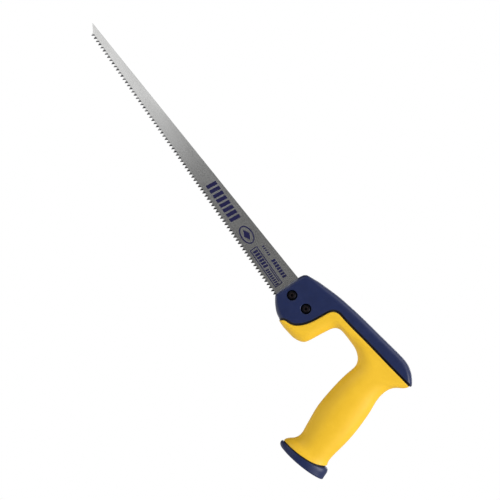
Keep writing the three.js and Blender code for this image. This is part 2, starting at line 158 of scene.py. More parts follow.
# The blade's print. Rows of slanted bars: the first one's x, pitch, count, foot, width and height.
BAR_ROWS = [
    (-122, 5.45, 8, 4.9, 3.7, 10.4), (-45.6, 3.3, 6, 5.5, 2.3, 4.8), (-24.5, 2.3, 8, 5.3, 1.5, 3.2),
    (-24.5, 0, 1, 9.6, 16, 0.8), (-45, 2.4, 5, 15.6, 1.3, 2.2), (-29, 3.0, 7, 14.8, 2.2, 4.1),
]
BAR_LEAN = 0.12
RING_MIDDLE = (-62, 10.2)
RINGS = [(9.5, 6.0, 40), (8.3, 4.8, 40), (5.8, 3.1, 4)]  # half the length and height, and the corners
FRAMES = [(-48, 3.7, -5.5, 11.9), (-47.15, 4.55, -6.35, 11.05)]  # lowest x and z, highest x and z

# ---- Finishes ------------------------------------------------------------------------------------------

# Linear colours. A surface with two of them wanders between the two.
NAVY = ((0.0035, 0.0107, 0.057), (0.0052, 0.0135, 0.069))
# Painted shade: black for the groove's floor and ends, standing in for the shadow inside the groove.
GROOVE_SHADE_COLOR = (0.004, 0.004, 0.006)
YELLOW = ((0.775, 0.458, 0.015), (0.81, 0.488, 0.02))
TIP_STEEL = ((0.495, 0.495, 0.49), (0.555, 0.555, 0.55))
# Painted light: the blade's side near the handle is painted brighter than at the tip.
BRIGHTENED_ROOT_STEEL = ((0.63, 0.63, 0.62), (0.7, 0.7, 0.685))
# Painted light: the teeth's bevels are painted lighter towards the tip than towards the handle, where they
# are dark.
PAINTED_LIGHT_BEVEL = ((0.05, 0.05, 0.055), (0.09, 0.09, 0.095))
DARK_BEVEL = ((0.01, 0.01, 0.011), (0.022, 0.022, 0.024))
INK = ((0.007, 0.007, 0.05), (0.04, 0.04, 0.1))
OXIDE = (0.006, 0.006, 0.008)
# Painted highlight: the screws' crowns, round their sockets, lighter and browner than the oxide.
CROWN_HIGHLIGHT_COLORS = ((0.006, 0.003, 0.004), (0.016, 0.01, 0.011))
PALE_FLOOR = (0.9, 0.9, 0.9)
# Along the row frame's x: where the blade's side starts to be painted brighter towards the handle, and
# stops, a painted light;
# and where the teeth's bevels start to turn from a painted lighter tone to dark, and stop.
PAINTED_BRIGHTENING = (-245, -150)
BEVEL_PAINTED_LIGHT = (-330, -235)
NOISE_SPAN = (0.3, 0.7)  # what noise mostly stays within
GRIND_SPAN = (0.25, 0.75)
WORN_SPAN = (0.62, 0.8)  # only the noise's peaks, where the ink is worn

# ---- Stage ---------------------------------------------------------------------------------------------

VIEW_CENTRE = (-48.5, 4.5)  # the middle of the picture, in the design plane
VIEW_ROLL = math.radians(54.95)
FIELD = 0.472  # metres across the picture at the saw
LENS = 100
SENSOR = 36
CLIP = (0.01, 100)
# Soft lights: place and target in metres, the two sides in metres, and power in watts.
LIGHTS = {
    "key": ((1.05, -0.87, 0.95), (0, 0, 0), (0.9, 0.9), 25.5),
    "fill": ((-1.2, -0.7, 0.2), (-0.05, 0, 0), (0.7, 0.7), 5.0),
    "top": ((-0.1, -0.2, 1.5), (0, 0, 0), (0.9, 1.2), 7),
    "back": ((0.15, 1.5, 0.5), (0, 0, 0), (1.0, 1.0), 8),
    "tip_strip": ((-0.67, -1.4, 0.05), (-0.3, 0, 0), (0.44, 1.3), 2.3),
}
# The room's brightness grows from in front of the saw to behind it, and toward the handle's upper side:
# the axis, how far along it the growth starts and ends, and the brightness at each.
ROOM = [((0, 1, 0), -0.5, 0.6, 0.12, 0.18), ((0.75, 0, 0.66), -0.1, 0.9, 0, 0.44)]
BACKDROP = 1.0  # brightness of the white behind the saw
FLOOR_DROP = 1.5  # metres from the saw's lowest point down to the floor
FLOOR_RADIUS = 4.0
FLOOR_SIDES = 64
FLOOR_GLOW = 0.3

# ---- Outlines ------------------------------------------------------------------------------------------

# The hard shell's free edge: under the head, up its front, along the top of the spine, round the tail.
SHELL_EDGE = [
    (20.6, -10.1), (15, -9.1), (10, -7.0), (5, -4.1), (1.8, -1.8), (0.3, -0.5), (-0.5, 1.4),
    (-0.8, 10), (-0.9, 20), (-0.6, 29), (0, 32), (1.7, 34.7), (5, 36.6), (12, 39.8), (20, 42.7),
    (30, 46.1), (40, 49), (50, 51.4), (60, 53.6), (80, 57.4), (100, 61.1), (112, 63.3), (120, 64.4),
    (126, 64.3), (132, 63), (138, 60.3), (142, 57.6), (143.7, 56), (144.2, 54.8), (143.7, 53.9),
    (142.6, 53.8),
]
# The soft grip's edge along the seam, from the point of the nose up behind the head and back to the tail.
SEAM = [
    (22.2, -10.6), (22.9, -8.6), (24.2, -7.15), (27, -5.9), (30.6, -4.35), (33.4, -2.1), (35.4, 0.45),
    (37.8, 5.1), (39.5, 10.1), (40.9, 18), (41.9, 28.1), (42.7, 32.8), (44.8, 36.1), (48.3, 38),
    (54, 38.9), (65.1, 40.4), (80.1, 43), (100.1, 46.2), (120.1, 49.3), (135, 51.7), (142.3, 52.8),
]
# Where the shell's edge and the seam face each other across the head and the spine.
SHELL_TIES = [
    ((20.6, -10.1), (22.2, -10.6)), ((5, -4.1), (31, -4)), ((-0.7, 4), (38.2, 5)), ((-0.9, 20), (41.6, 20)),
    ((0.6, 33.2), (42.7, 30)), ((14, 40.6), (44.2, 34.6)), ((34, 47.3), (48.5, 37.7)),
    ((60, 53.6), (65, 40.9)), ((100, 61.1), (101, 46.9)), ((126, 64.3), (127, 50.8)),
    ((142, 57.6), (140.6, 52.6)), ((142.6, 53.8), (142.3, 52.8)),
]
# The soft grip's edge on the fingers' side: under the nose, up behind the head, back under the spine and
# down the front of the grip. Its palm side runs down from the tail.
FINGER_EDGE = [
    (22.1, -11.3), (26, -11.5), (31, -11.3), (36, -10.6), (41, -9.9), (45, -8.6), (48.3, -6.9),
    (50.6, -5.1), (52.4, -2.6), (53.5, 1.5), (54.3, 8), (55.1, 15), (56, 21.5), (57, 26),
    (58.8, 28.9), (61.6, 30.9), (65.5, 31.8), (72, 32.3), (80, 32.5), (85.5, 32.2), (89.5, 31.1),
    (93.4, 29.2), (96.3, 26.6), (98.2, 23.4), (99, 19.5), (99.5, 13.6), (100.5, 6), (102.2, -3),
    (105, -15), (109.4, -29.5), (114.2, -40), (119, -50), (120.9, -54.3), (121.5, -58.3),
    (120.7, -62.2), (118.6, -65.9), (117.2, -68.6), (116.7, -70.5), (116.8, -72),
]
PALM_EDGE = [
    (142.3, 52.8), (141.6, 49.3), (139.6, 46), (137.2, 42.8), (135.3, 39), (134.4, 35), (134.3, 31),
    (135, 26), (136.8, 20), (141.3, 10), (145.1, 0), (149.6, -14), (152.6, -27), (154.4, -38),
    (156, -46), (157.6, -50.1), (159.3, -52.3),
]
# Sections of the soft grip, each between a point of its finger edge and a point of the seam or the palm
# edge: half its thickness, how far its roundings reach in, and 0 on the seam, 1 on the palm edge.
GRIP_SECTIONS = [
    ((22.1, -11.3), (22.2, -10.6), 7.9, 0.5, 0),
    ((26, -11.5), (24.4, -6.9), 8.6, 3.4, 0),
    ((31, -11.3), (28.2, -5.2), 8.9, 5.4, 0),
    ((36, -10.6), (32, -3.1), 9, 6.6, 0),
    ((41, -9.9), (35, -0.3), 9, 8.2, 0),
    ((46, -8.1), (37.4, 3.2), 9, 10, 0),
    ((50.3, -5.4), (39.1, 7.2), 9, 11.4, 0),
    ((53, -1), (40.3, 11.5), 9, 12.2, 0),
    ((54.1, 6), (41.1, 16), 9, 12.4, 0),
    ((55.1, 15), (41.8, 22), 9, 12.4, 0),
    ((56.3, 23.3), (42.4, 28), 9, 12.2, 0),
    ((58.9, 28.8), (43.2, 32.6), 9, 11.6, 0),
    ((63.4, 31.5), (45.2, 35.8), 9, 10, 0),
    ((70, 32.3), (54, 39), 9, 8.8, 0),
    ((78, 32.5), (73, 42.3), 9, 8.6, 0),
    ((85.5, 32.2), (92, 45.4), 9.2, 11, 0),
    ((91.5, 30.4), (110, 48.2), 9.6, 14, 0),
    ((95.7, 27.4), (127, 50.8), 10.2, 16.5, 0),
    ((98.1, 23.8), (142.3, 52.8), 10.9, 17, 0.12),
    ((98.9, 19.8), (140.3, 47.3), 11.6, 18.5, 0.7),
    ((99.5, 13.6), (136, 40), 12.3, 19.5, 1),
    ((100.5, 6), (134.3, 31), 13, 19.5, 1),
    ((102.2, -3), (137, 19.5), 13.7, 20, 1),
    ((105, -15), (143.3, 5.5), 14.3, 21, 1),
    ((109.4, -29.5), (149.2, -12), 14.6, 22, 1),
    ((115.7, -43.3), (153.2, -30), 14.5, 21, 1),
    ((120.4, -52.8), (155.2, -42.5), 14.2, 20, 1),
    ((121.5, -58.3), (156.4, -48.6), 14.3, 20.5, 1),
    ((120, -63.9), (157.9, -50.6), 14.8, 21.5, 1),
    ((117.5, -67.8), (158.8, -51.8), 15.4, 22.5, 1),
    ((116.8, -72), (159.3, -52.3), 15.7, 23, 1),
]
BEND_FROM = 0.72  # share of the way along the sections where they start to follow the butt seam
# The soft grip's lower edge, front to back, and the cap's underside below it.
BUTT_SEAM = [
    (116.8, -72), (123, -70.4), (130.8, -68.2), (139.3, -65.2), (146.9, -61.8), (152, -58.6),
    (155.9, -55.5), (159.3, -52.3),
]
CAP_UNDERSIDE = [(119.4, -77.7), (129.9, -76), (141.7, -73.2), (153.5, -69.6), (166, -64.8)]
# Rings of the cap, from its neck inside the grip down to its underside: front point, back point, half the
# thickness, and how far the ring has gone from the shape of the seam (0) to that of the underside (1).
CAP_RINGS = [
    ((118.0, -70.6), (157.6, -53.4), 14.2, 0), ((117.9, -73.7), (158.7, -55.1), 14.2, 0),
    ((117.4, -73.6), (159.5, -54.6), 15.2, 0), ((116.9, -73.4), (160.3, -54.1), 15.7, 0.02),
    ((116.3, -73.3), (161.5, -53.9), 15.95, 0.08), ((115.9, -73.7), (163.2, -54.5), 16.1, 0.2),
    ((115.9, -74.6), (164.9, -56.6), 16.25, 0.4), ((116.3, -75.8), (166.1, -59.6), 16.4, 0.64),
    ((117.1, -76.8), (167.1, -62.1), 16.5, 0.84), ((117.8, -77.3), (167.5, -63.2), 16.45, 0.94),
    ((118.7, -77.7), (167.2, -64.1), 16.1, 0.985), ((119.7, -77.9), (166.2, -64.8), 15.4, 1),
]

# The design plane's origin in the row frame, in metres.
screw_low, screw_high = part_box("blade_screw_front")
heel = (screw_low + screw_high) / 2 - Vector((SCREWS["front"][0], 0, SCREWS["front"][1])) * MM
heel.y = 0


# ---- Curves --------------------------------------------------------------------------------------------


class Spline:
    """A natural cubic through values. t runs from 0 to 1, by chord length unless knots are given."""

    def __init__(self, values, knots=None):
        self.values = np.array(values, float)
        if self.values.ndim == 1:
            self.values = self.values[:, None]
        if knots is None:
            knots = np.cumsum(np.r_[0, np.linalg.norm(np.diff(self.values, axis=0), axis=1)])
        self.knots = np.array(knots, float) / knots[-1]
        gaps = np.diff(self.knots)
        count = len(self.knots)
        system = np.eye(count)
        slopes = np.diff(self.values, axis=0) / gaps[:, None]
        right = np.zeros_like(self.values)
        for i in range(1, count - 1):
            system[i, i - 1 : i + 2] = gaps[i - 1], 2 * (gaps[i - 1] + gaps[i]), gaps[i]
            right[i] = 6 * (slopes[i] - slopes[i - 1])
        self.bends = np.linalg.solve(system, right)

    def __call__(self, t):
        t = np.atleast_1d(np.clip(t, 0, 1))
        i = np.clip(np.searchsorted(self.knots, t, side="right") - 1, 0, len(self.knots) - 2)
        gap = (self.knots[i + 1] - self.knots[i])[:, None]
        b = (t - self.knots[i])[:, None] / gap
        a = 1 - b
        curve = a * self.values[i] + b * self.values[i + 1]
        bends = (a**3 - a) * self.bends[i] + (b**3 - b) * self.bends[i + 1]
        return curve + bends * gap**2 / 6


def lengths(line):
    return np.cumsum(np.r_[0, np.linalg.norm(np.diff(line, axis=0), axis=1)])


def normals(line):
    """Unit normals of a line, to the left of its direction."""
    along = np.gradient(line, axis=0)
    along /= np.linalg.norm(along, axis=1)[:, None]
    return np.stack([-along[:, 1], along[:, 0]], axis=1)


def distance(points, line, batch=4000):
    """Distance from each point to a line of many short pieces."""
    start = line[:-1]
    step = np.diff(line, axis=0)
    size = (step**2).sum(1)
    best = np.full(len(points), np.inf)
    for part in np.array_split(np.arange(len(points)), max(1, len(points) // batch)):
        away = points[part][:, None, :] - start[None]
        share = np.clip((away * step).sum(2) / size, 0, 1)
        off = away - share[..., None] * step
        best[part] = np.sqrt((off**2).sum(2).min(1))
    return best


def smooth(value, low, high):
    t = np.clip((value - low) / (high - low), 0, 1)
    return t * t * (3 - 2 * t)


def rise(share, fullness=FULLNESS):
    """A quarter round: 0 at share 0, 1 from share 1 on."""
    share = np.clip(share, 0, 1)
    return (1 - (1 - share) ** fullness) ** (1 / fullness)


def spread(count):
    """count + 1 shares from 0 to 1, close together at both ends."""
    return (1 - np.cos(np.pi * np.arange(count + 1) / count)) / 2


def even_stations(curves, count, step=1.4, turn=math.radians(7)):
    """Places in lists of equally many points, closer together where any of the curves bends."""
    cost = np.zeros(len(curves[0]))
    for line in curves:
        pieces = np.diff(line, axis=0)
        angle = np.unwrap(np.arctan2(pieces[:, 1], pieces[:, 0]))
        cost[1:] += np.linalg.norm(pieces, axis=1) / step
        cost[1:-1] += np.abs(np.diff(angle)) / turn
    total = np.cumsum(cost)
    return np.interp(np.linspace(0, total[-1], count), total, np.arange(len(total)))


def sample(line, places):
    index = np.arange(len(line))
    return np.stack([np.interp(places, index, line[:, i]) for i in range(line.shape[1])], axis=1)


# ---- Meshes --------------------------------------------------------------------------------------------


def make(name, vertices, faces, materials, kinds=None, weld=WELD, rounded=True):
    """A mesh from vertices in millimetres in the design frame, moved into the row frame, on the root."""
    points = np.array(vertices, float) * MM + np.array(heel)
    mesh = bpy.data.meshes.new(name)
    mesh.from_pydata(points.tolist(), [], [list(map(int, f)) for f in faces])
    piece = bpy.data.objects.new(name, mesh)
    bpy.context.scene.collection.objects.link(piece)
    for material in materials:
        mesh.materials.append(material)
    if kinds:
        mesh.polygons.foreach_set("material_index", kinds)
    clean(mesh, weld)
    if rounded:
        shade_smooth(mesh)
    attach(piece, "root")
    return piece


def clean(mesh, weld):
    work = bmesh.new()
    work.from_mesh(mesh)
    bmesh.ops.remove_doubles(work, verts=work.verts, dist=weld)
    bmesh.ops.dissolve_degenerate(work, edges=work.edges, dist=weld)
    bmesh.ops.recalc_face_normals(work, faces=work.faces)
    work.to_mesh(mesh)
    work.free()


def shade_smooth(mesh):
    mesh.polygons.foreach_set("use_smooth", [True] * len(mesh.polygons))
    mesh.set_sharp_from_angle(angle=SHARP_ANGLE)


def skin(rings):
    """Vertices and faces of a closed tube through rings of points, with each end covered by one face."""
    rings = np.array(rings, float)
    count, size = rings.shape[:2]
    index = np.arange(count * size).reshape(count, size)
    here = index[:-1]
    after = index[1:]
    sides = np.stack([here, np.roll(here, -1, 1), np.roll(after, -1, 1), after], axis=2)
    faces = sides.reshape(-1, 4).tolist()
    faces += [index[0][::-1].tolist(), index[-1].tolist()]
    return rings.reshape(-1, 3), faces


def cut(piece, cutters):
    """Cuts closed meshes out of a piece and removes them."""
    for cutter in cutters:
        modifier = piece.modifiers.new("cut", "BOOLEAN")
        modifier.operation = "DIFFERENCE"
        modifier.solver = "EXACT"
        modifier.object = cutter
    depsgraph = bpy.context.evaluated_depsgraph_get()
    result = bpy.data.meshes.new_from_object(piece.evaluated_get(depsgraph))
    piece.modifiers.clear()
    piece.data = result
    for cutter in cutters:
        bpy.data.objects.remove(cutter)
    shade_smooth(result)


def turned(place, profile, sides=TURNED_SIDES, shape=None):
    """Rings of a [radius, y] profile turned about a line along y. shape() may change a ring's radii."""
    angles = np.linspace(0, 2 * np.pi, sides, endpoint=False)
    rings = []
    for i, (radius, y) in enumerate(profile):
        radii = np.full(sides, float(radius))
        if shape:
            radii = shape(angles, i, radius)
        along = place[0] + radii * np.cos(angles)
        up = place[1] + radii * np.sin(angles)
        rings.append(np.stack([along, np.full(sides, y), up], axis=1))
    return rings


# ---- Materials -----------------------------------------------------------------------------------------


class Shader:
    """A node material round one Principled shader, with positions in millimetres in the row frame."""

    MIX_FIRST, MIX_SECOND, MIX_RESULT = 6, 7, 2  # the colour sockets of a Mix node

    def __init__(self, name, color, roughness, metallic=0.0, specular=0.5):
        self.material = bpy.data.materials.new(name)
        self.material.use_nodes = True
        self.tree = self.material.node_tree
        self.shader = self.tree.nodes["Principled BSDF"]
        self.shader.inputs["Base Color"].default_value = (*color, 1)
        self.shader.inputs["Roughness"].default_value = roughness
        self.shader.inputs["Metallic"].default_value = metallic
        self.shader.inputs["Specular IOR Level"].default_value = specular
        coordinates = self.tree.nodes.new("ShaderNodeTexCoord")
        self.place = self.scaled(coordinates.outputs["Object"], (1 / MM,) * 3)

    def link(self, source, target):
        self.tree.links.new(source, target)

    def scaled(self, value, factors):
        node = self.tree.nodes.new("ShaderNodeVectorMath")
        node.operation = "MULTIPLY"
        self.link(value, node.inputs[0])
        node.inputs[1].default_value = factors
        return node.outputs[0]

    def noise(self, size, stretch=(1, 1, 1), detail=3.0, roughness=0.55):
        """Noise with features of about size millimetres."""
        node = self.tree.nodes.new("ShaderNodeTexNoise")
        self.link(self.scaled(self.place, tuple(s / size for s in stretch)), node.inputs["Vector"])
        node.inputs["Scale"].default_value = 1
        node.inputs["Detail"].default_value = detail
        node.inputs["Roughness"].default_value = roughness
        return node.outputs["Fac"]

    def along_x(self):
        node = self.tree.nodes.new("ShaderNodeSeparateXYZ")
        self.link(self.place, node.inputs[0])
        return node.outputs["X"]

    def ramp(self, value, span, low=0, high=1):
        node = self.tree.nodes.new("ShaderNodeMapRange")
        self.link(value, node.inputs["Value"])
        set_range(node, (*span, low, high))
        return node.outputs["Result"]

    def mix(self, share, first, second):
        node = self.tree.nodes.new("ShaderNodeMix")
        node.data_type = "RGBA"
        self.link(share, node.inputs["Factor"])
        for socket, value in ((self.MIX_FIRST, first), (self.MIX_SECOND, second)):
            if isinstance(value, tuple):
                node.inputs[socket].default_value = (*value, 1)
            else:
                self.link(value, node.inputs[socket])
        return node.outputs[self.MIX_RESULT]

    def wander(self, noise, colors, span=NOISE_SPAN):
        return self.mix(self.ramp(noise, span), *colors)

    def color(self, value):
        self.link(value, self.shader.inputs["Base Color"])

    def roughen(self, noise, low, high, span=NOISE_SPAN):
        self.link(self.ramp(noise, span, low, high), self.shader.inputs["Roughness"])

    def bump(self, height, strength, depth):
        """Adds a bump of depth millimetres."""
        node = self.tree.nodes.new("ShaderNodeBump")
        node.inputs["Strength"].default_value = strength
        node.inputs["Distance"].default_value = depth * MM
        self.link(height, node.inputs["Height"])
        self.link(node.outputs["Normal"], self.shader.inputs["Normal"])


def set_range(node, numbers):
    """Sets a Map Range node: what goes in, from and to, and what comes out, from and to."""
    for key, number in zip(("From Min", "From Max", "To Min", "To Max"), numbers):
        node.inputs[key].default_value = number


def hard_plastic():
    made = Shader("hard_navy", NAVY[0], roughness=0.4, specular=0.38)
    made.color(made.wander(made.noise(size=9, detail=4), NAVY))
    made.roughen(made.noise(size=2.5), low=0.38, high=0.46)
    made.bump(made.noise(size=0.28, detail=2), strength=0.15, depth=0.02)
    return made.material


# Painted shade: a black finish on the groove's floor and ends, in place of the shadow in the groove.
def painted_groove_shade():
    made = Shader("groove_shade_black", GROOVE_SHADE_COLOR, roughness=0.6)
    made.roughen(made.noise(size=2), low=0.55, high=0.7)
    made.bump(made.noise(size=0.5, detail=2), strength=0.3, depth=0.02)
    return made.material


def soft_rubber():
    made = Shader("soft_yellow", YELLOW[0], roughness=0.5, specular=0.35)
    made.color(made.wander(made.noise(size=14, detail=4), YELLOW))
    made.roughen(made.noise(size=3), low=0.46, high=0.56)
    made.bump(made.noise(size=0.4, detail=2), strength=0.4, depth=0.025)
    return made.material


def blade_steel():
    made = Shader("ground_steel", TIP_STEEL[0], roughness=0.22, metallic=1.0)
    grind = made.noise(size=0.3, stretch=(0.012, 1, 1), detail=2)
    cloud = made.noise(size=16, stretch=(0.4, 1, 1), detail=4)
    tip = made.wander(cloud, TIP_STEEL)
    root = made.wander(cloud, BRIGHTENED_ROOT_STEEL)
    # Painted light: the side's colour brightens from the tip towards the handle along x.
    made.color(made.mix(made.ramp(made.along_x(), PAINTED_BRIGHTENING), tip, root))
    made.roughen(grind, low=0.19, high=0.26, span=GRIND_SPAN)
    made.bump(grind, strength=0.12, depth=0.002)
    return made.material


def bevel_steel():
    made = Shader("hardened_steel", PAINTED_LIGHT_BEVEL[0], roughness=0.4, metallic=0.9)
    tint = made.noise(size=0.8, detail=3)
    painted_light = made.wander(tint, PAINTED_LIGHT_BEVEL)
    dark = made.wander(tint, DARK_BEVEL)
    # Painted light: the bevels are painted lighter towards the tip and dark towards the handle.
    made.color(made.mix(made.ramp(made.along_x(), BEVEL_PAINTED_LIGHT), painted_light, dark))
    made.roughen(made.noise(size=0.5), low=0.32, high=0.46)
    return made.material


def blade_ink():
    made = Shader("navy_ink", INK[0], roughness=0.6, specular=0.2)
    wear_and_highlight = made.noise(size=0.5, detail=3)
    made.color(made.wander(wear_and_highlight, INK, span=WORN_SPAN))
    made.roughen(wear_and_highlight, low=0.55, high=0.68)
    return made.material


def black_oxide():
    made = Shader("black_oxide", OXIDE, roughness=0.36, metallic=0.85, specular=0.12)
    made.roughen(made.noise(size=0.8), low=0.34, high=0.48)
    made.bump(made.noise(size=0.3), strength=0.3, depth=0.01)
    return made.material


def painted_crown_highlight():
    """Painted highlight: a lighter, brownish finish on a screw's crown, round its socket."""
    made = Shader("painted_crown_highlight", CROWN_HIGHLIGHT_COLORS[0], roughness=0.5, metallic=0.3, specular=0.2)
    crown_mottle = made.noise(size=0.9, detail=3)
    made.color(made.wander(crown_mottle, CROWN_HIGHLIGHT_COLORS))
    made.roughen(crown_mottle, low=0.42, high=0.56)
    return made.material


# ---- The hard shell ------------------------------------------------------------------------------------


def cheek_half(x):
    """Half the handle's thickness beside the seam."""
    return CHEEK + (TAIL_CHEEK - CHEEK) * smooth(x, *CHEEK_SPREAD)


def tied_lines():
    """The shell's free edge and its edge along the groove, then points that face each other on the two.

    The last line is the groove's floor, under the soft grip.
    """
    share = np.linspace(0, 1, LINE_SAMPLES)
    edge = Spline(SHELL_EDGE)(share)
    seam = Spline(SEAM)(share)
    groove = seam + normals(seam) * GROOVE
    edge_at = [np.linalg.norm(edge - tie[0], axis=1).argmin() for tie in SHELL_TIES]
    seam_at = [np.linalg.norm(seam - tie[1], axis=1).argmin() for tie in SHELL_TIES]
    ties = (lengths(edge)[edge_at] / lengths(edge)[-1] + lengths(seam)[seam_at] / lengths(seam)[-1]) / 2
    ties[0] = 0
    ties[-1] = 1
    outer = sample(edge, np.interp(share, ties, edge_at))
    inner = sample(groove, np.interp(share, ties, seam_at))
    under = sample(seam - normals(seam) * FLOOR_REACH, np.interp(share, ties, seam_at))
    return edge, groove, outer, inner, under


def shell_half(side, material, groove_shade, stations=300, across=44):
    """One hard half of the handle. side is -1 for the near half and 1 for the far half."""
    edge, groove, outer, inner, under = tied_lines()
    places = even_stations([outer, inner], stations)
    outer, inner, under = (sample(line, places) for line in (outer, inner, under))
    flat = outer[:, None] + (inner - outer)[:, None] * spread(across)[None, :, None]
    points = flat.reshape(-1, 2)
    free = distance(points, edge)
    lip = distance(points, groove)
    crown = EDGE_SHARE + (1 - EDGE_SHARE) * rise(free / CROWN_REACH, ELLIPSE)
    top = cheek_half(points[:, 0]) * crown
    reach = SHELL_REACH[0] + (SHELL_REACH[1] - SHELL_REACH[0]) * smooth(points[:, 0], *REACH_SPREAD)
    height = PARTING + (top - PARTING) * rise(free / reach)
    height -= LIP * (1 - rise(lip / LIP, ELLIPSE))
    height = height.reshape(flat.shape[:2])
    rings = []
    for i in range(len(flat)):
        surface = np.column_stack([flat[i][:, 0], height[i], flat[i][:, 1]])
        low = min(GROOVE_FLOOR, height[i][-1] - GROOVE_STEP)
        across_shell = inner[i] - outer[i]
        depth = min(PARTING_DEPTH / np.linalg.norm(across_shell), PARTING_SHARE)
        parting = outer[i] + across_shell * depth
        foot = [
            (inner[i][0], low, inner[i][1]),
            (under[i][0], low, under[i][1]),
            (under[i][0], 0, under[i][1]),
            (parting[0], 0, parting[1]),
        ]
        rings.append(np.vstack([surface, foot]) * (1, side, 1))
    vertices, faces = skin(rings)
    size = len(rings[0])
    in_groove = [across, across + 1, across + 2]
    kinds = [int(f[0] % size in in_groove or len(f) != 4) for f in faces]  # 1 is black painted shade in the groove
    which = "near" if side < 0 else "far"
    piece = make(f"handle_shell_{which}", vertices, faces, [material, groove_shade], kinds)
    cut(piece, [counterbore(place, side, material) for place in SCREWS.values()])
    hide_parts(f"handle_half_{which}")
    return piece


def counterbore(place, side, material):
    """The mesh that cuts a screw's counterbore, with its rounded mouth, and the hole for its shank."""
    low, high = CUTTER_ENDS
    profile = [(SHANK_HOLE, low), (SHANK_HOLE, SEAT), (COUNTERBORE, SEAT)]
    for turn in np.linspace(0, MOUTH_TURN, MOUTH_STEPS):
        radius = COUNTERBORE + MOUTH_ROUNDING * (1 - math.cos(turn))
        profile.append((radius, CHEEK - MOUTH_ROUNDING + MOUTH_ROUNDING * math.sin(turn)))
    profile.append((COUNTERBORE + CUTTER_FLARE, high))
    rings = [ring * (1, side, 1) for ring in turned(place, profile)]
    return make("counterbore", *skin(rings), [material])


# ---- The soft grip -------------------------------------------------------------------------------------


def place_on(line, points):
    """How far along a line of many points each given point's nearest place is."""
    along = lengths(line)
    return np.array([along[np.linalg.norm(line - p, axis=1).argmin()] for p in points])


def grip_curves(count):
    """The grip's finger edge, its other edge, and its thickness, reach and openness at count stations."""
    share = np.linspace(0, 1, LINE_SAMPLES)
    hand = Spline(FINGER_EDGE)(share)
    seam = Spline(SEAM)(share)
    back = np.vstack([seam, Spline(PALM_EDGE)(share)[1:]])
    hand_at = place_on(hand, [s[0] for s in GRIP_SECTIONS])
    back_at = place_on(back, [s[1] for s in GRIP_SECTIONS])
    knots = (hand_at + back_at) / 2
    rows = Spline([(h, b, *s[2:]) for h, b, s in zip(hand_at, back_at, GRIP_SECTIONS)], knots)
    fine = rows(share)
    at_hand = np.stack([np.interp(fine[:, 0], lengths(hand), hand[:, i]) for i in (0, 1)], axis=1)
    at_back = np.stack([np.interp(fine[:, 1], lengths(back), back[:, i]) for i in (0, 1)], axis=1)
    places = even_stations([at_hand, at_back], count)
    return [sample(line, places) for line in (at_hand, at_back, fine[:, 2:])], places / (LINE_SAMPLES - 1)


def butt_bow(share):
    """How far the butt seam lies off the straight line between its ends."""
    seam = Spline(BUTT_SEAM)
    ends = seam([0, 1])
    return seam(share) - (ends[0] + (ends[1] - ends[0]) * np.asarray(share)[:, None])


def oval(half, width, reach, across, free, seam_half):
    """Half the thickness at distances across a section. free is 0 on the seam and 1 on the palm edge."""
    left = np.maximum(width - across, 0)
    full = seam_half + (half - seam_half) * rise(left / width, ELLIPSE)
    seam_side = full - SOFT_LIP[1] * (1 - rise(left / SOFT_LIP[0], ELLIPSE))
    open_side = half * rise(left / reach)
    return (seam_side + (open_side - seam_side) * free) * rise(across / reach)


def soft_grip(material, stations=280, around=48):
    (hand_line, back_line, rows), places = grip_curves(stations)
    shares = spread(around)
    rings = []
    for t, hand, back, (half, reach, free) in zip(places, hand_line, back_line, rows):
        free = min(max(free, 0), 1)
        width = np.linalg.norm(back - hand)
        reach = min(reach, width * (REACH_LIMIT + SEAM_REACH * (1 - free)))
        y = oval(half, width, reach, shares * width, free, cheek_half(back[0]))
        flat = hand + (back - hand) * shares[:, None] + butt_bow(shares) * smooth(t, BEND_FROM, 1)
        near = np.column_stack([flat[:, 0], -y, flat[:, 1]])
        wall = [(back[0], -share * y[-1], back[1]) for share in WALL_HEIGHTS]
        near = np.vstack([near, wall])
        rings.append(np.vstack([near, near[::-1] * (1, -1, 1)]))
    rings += end_rings(rings[-1])
    piece = make("grip_skin", *skin(rings), [material])
    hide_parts("soft_grip")
    return piece


def end_rings(ring, steps=5):
    """Rounds the grip's lower edge into the groove over the cap."""
    middle = ring.mean(axis=0)
    size = np.linalg.norm((ring - middle)[:, [0, 2]], axis=1).max()
    rings = []
    for angle in np.linspace(0, np.pi / 2, steps + 1)[1:]:
        inset = 1 - BUTT_LIP * (1 - math.cos(angle)) / size * BUTT_INSET
        down = np.array(BUTT_DOWN) * BUTT_LIP * math.sin(angle)
        rings.append(middle + (ring - middle) * inset + down)
    return rings


# ---- The cap -------------------------------------------------------------------------------------------


def superellipse(wave):
    """Turns a cosine or sine into that of a fuller oval."""
    return np.sign(wave) * np.abs(wave) ** (2 / FULLNESS)


